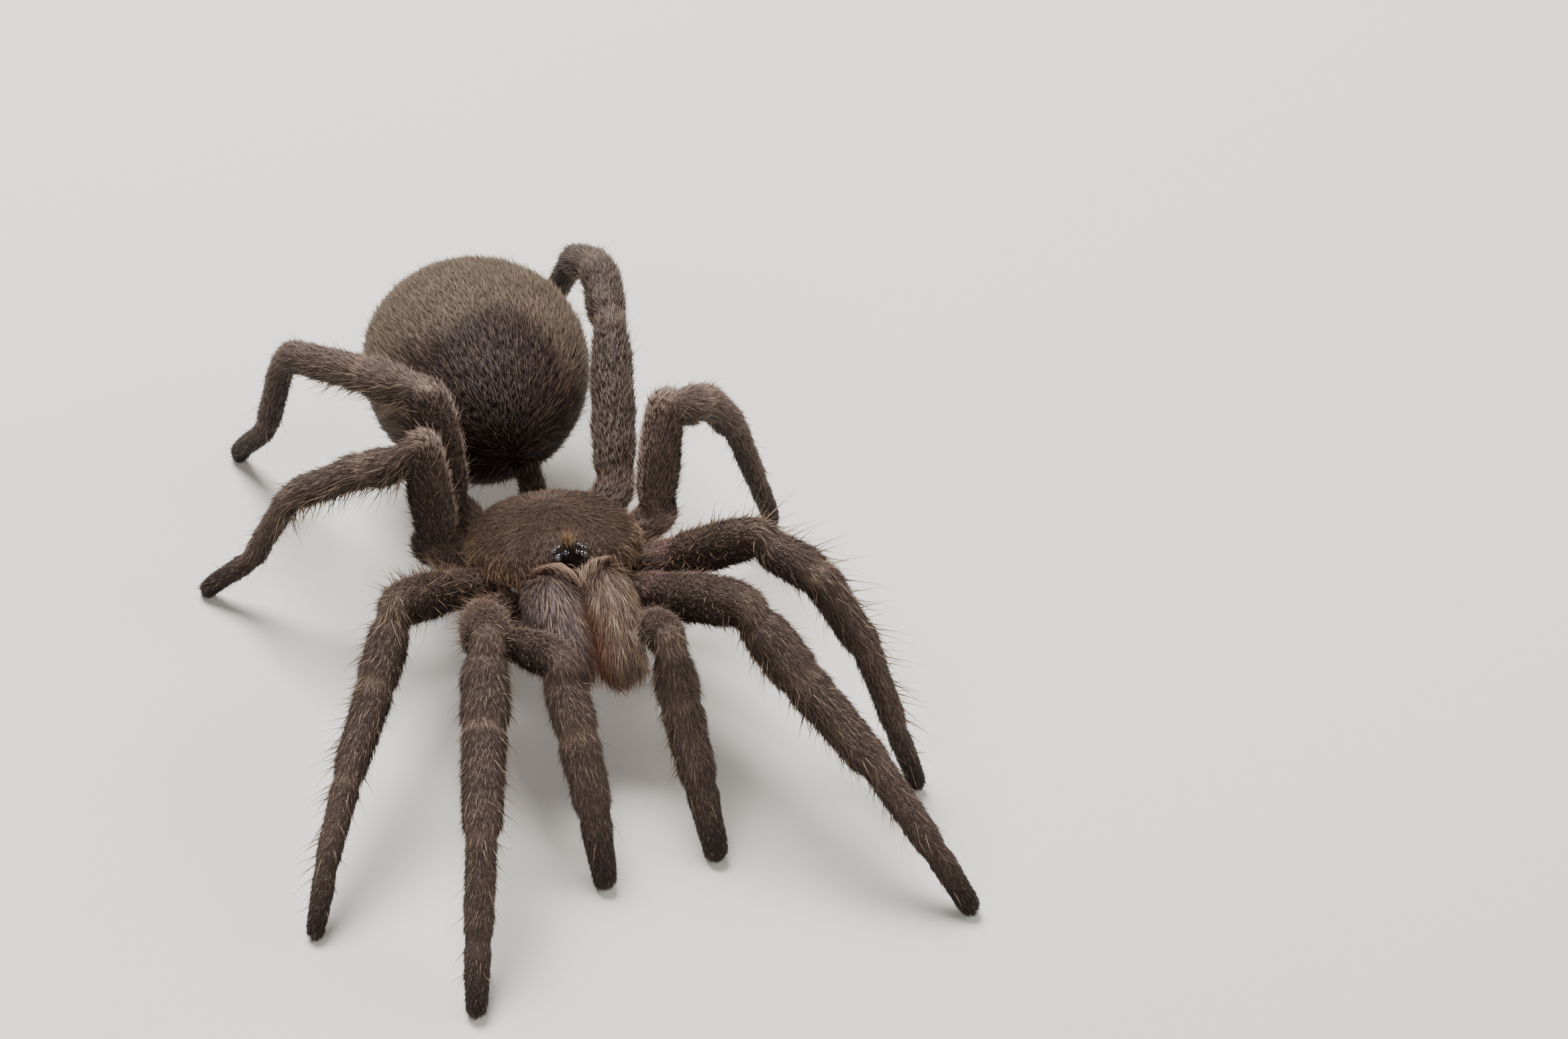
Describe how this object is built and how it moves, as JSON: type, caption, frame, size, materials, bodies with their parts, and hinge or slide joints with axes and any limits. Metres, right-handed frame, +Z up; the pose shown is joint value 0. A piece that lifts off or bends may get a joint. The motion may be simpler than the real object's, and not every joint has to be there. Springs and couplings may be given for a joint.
{
  "type": "tarantula model",
  "caption": "Life-size tarantula standing still on the toes of its legs and palps, with raised knees, full abdomen and stout jaws.",
  "frame": {"origin": "middle of the footprint, on the floor that the toes stand on", "axes": "+Z up, the head faces -Y, the spider's own left side is +X"},
  "size_m": [0.0606, 0.094, 0.0247],
  "materials": {
    "carapace_coat": "short brown-grey pile lying back in rays",
    "jaw_coat": "silvery grey hair combed down, reddish along the cleft",
    "leg_coat": "taupe velvet with longer pale hairs",
    "belly_coat": "dark brown short pile",
    "abdomen_coat": "olive-grey velvet over a near black front",
    "eye_mound": "dark skin with a tuft of straw hairs",
    "eye_lens": "black, wet gloss",
    "fang_horn": "black horn, glossy"
  },
  "bodies": {
    "root": {"abdomen": "abdomen_coat", "carapace": "carapace_coat", "chelicera_l": "jaw_coat", "chelicera_r": "jaw_coat", "eye_front_middle_l": "eye_lens", "eye_front_middle_r": "eye_lens", "eye_front_outer_l": "eye_lens", "eye_front_outer_r": "eye_lens", "eye_rear_middle_l": "eye_lens", "eye_rear_middle_r": "eye_lens", "eye_rear_outer_l": "eye_lens", "eye_rear_outer_r": "eye_lens", "eye_tubercle": "eye_mound", "fang_l": "fang_horn", "fang_r": "fang_horn", "leg1_l_femur": "leg_coat", "leg1_l_foot": "leg_coat", "leg1_l_hip": "leg_coat", "leg1_l_shin": "leg_coat", "leg1_r_femur": "leg_coat", "leg1_r_foot": "leg_coat", "leg1_r_hip": "leg_coat", "leg1_r_shin": "leg_coat", "leg2_l_femur": "leg_coat", "leg2_l_foot": "leg_coat", "leg2_l_hip": "leg_coat", "leg2_l_shin": "leg_coat", "leg2_r_femur": "leg_coat", "leg2_r_foot": "leg_coat", "leg2_r_hip": "leg_coat", "leg2_r_shin": "leg_coat", "leg3_l_femur": "leg_coat", "leg3_l_foot": "leg_coat", "leg3_l_hip": "leg_coat", "leg3_l_shin": "leg_coat", "leg3_r_femur": "leg_coat", "leg3_r_foot": "leg_coat", "leg3_r_hip": "leg_coat", "leg3_r_shin": "leg_coat", "leg4_l_femur": "leg_coat", "leg4_l_foot": "leg_coat", "leg4_l_hip": "leg_coat", "leg4_l_shin": "leg_coat", "leg4_r_femur": "leg_coat", "leg4_r_foot": "leg_coat", "leg4_r_hip": "leg_coat", "leg4_r_shin": "leg_coat", "palp_l_femur": "leg_coat", "palp_l_hip": "leg_coat", "palp_l_shin": "leg_coat", "palp_r_femur": "leg_coat", "palp_r_hip": "leg_coat", "palp_r_shin": "leg_coat", "pedicel": "belly_coat", "spinneret_inner_l": "abdomen_coat", "spinneret_inner_r": "abdomen_coat", "spinneret_outer_l": "abdomen_coat", "spinneret_outer_r": "abdomen_coat", "sternum": "belly_coat"}
  },
  "joints": []
}
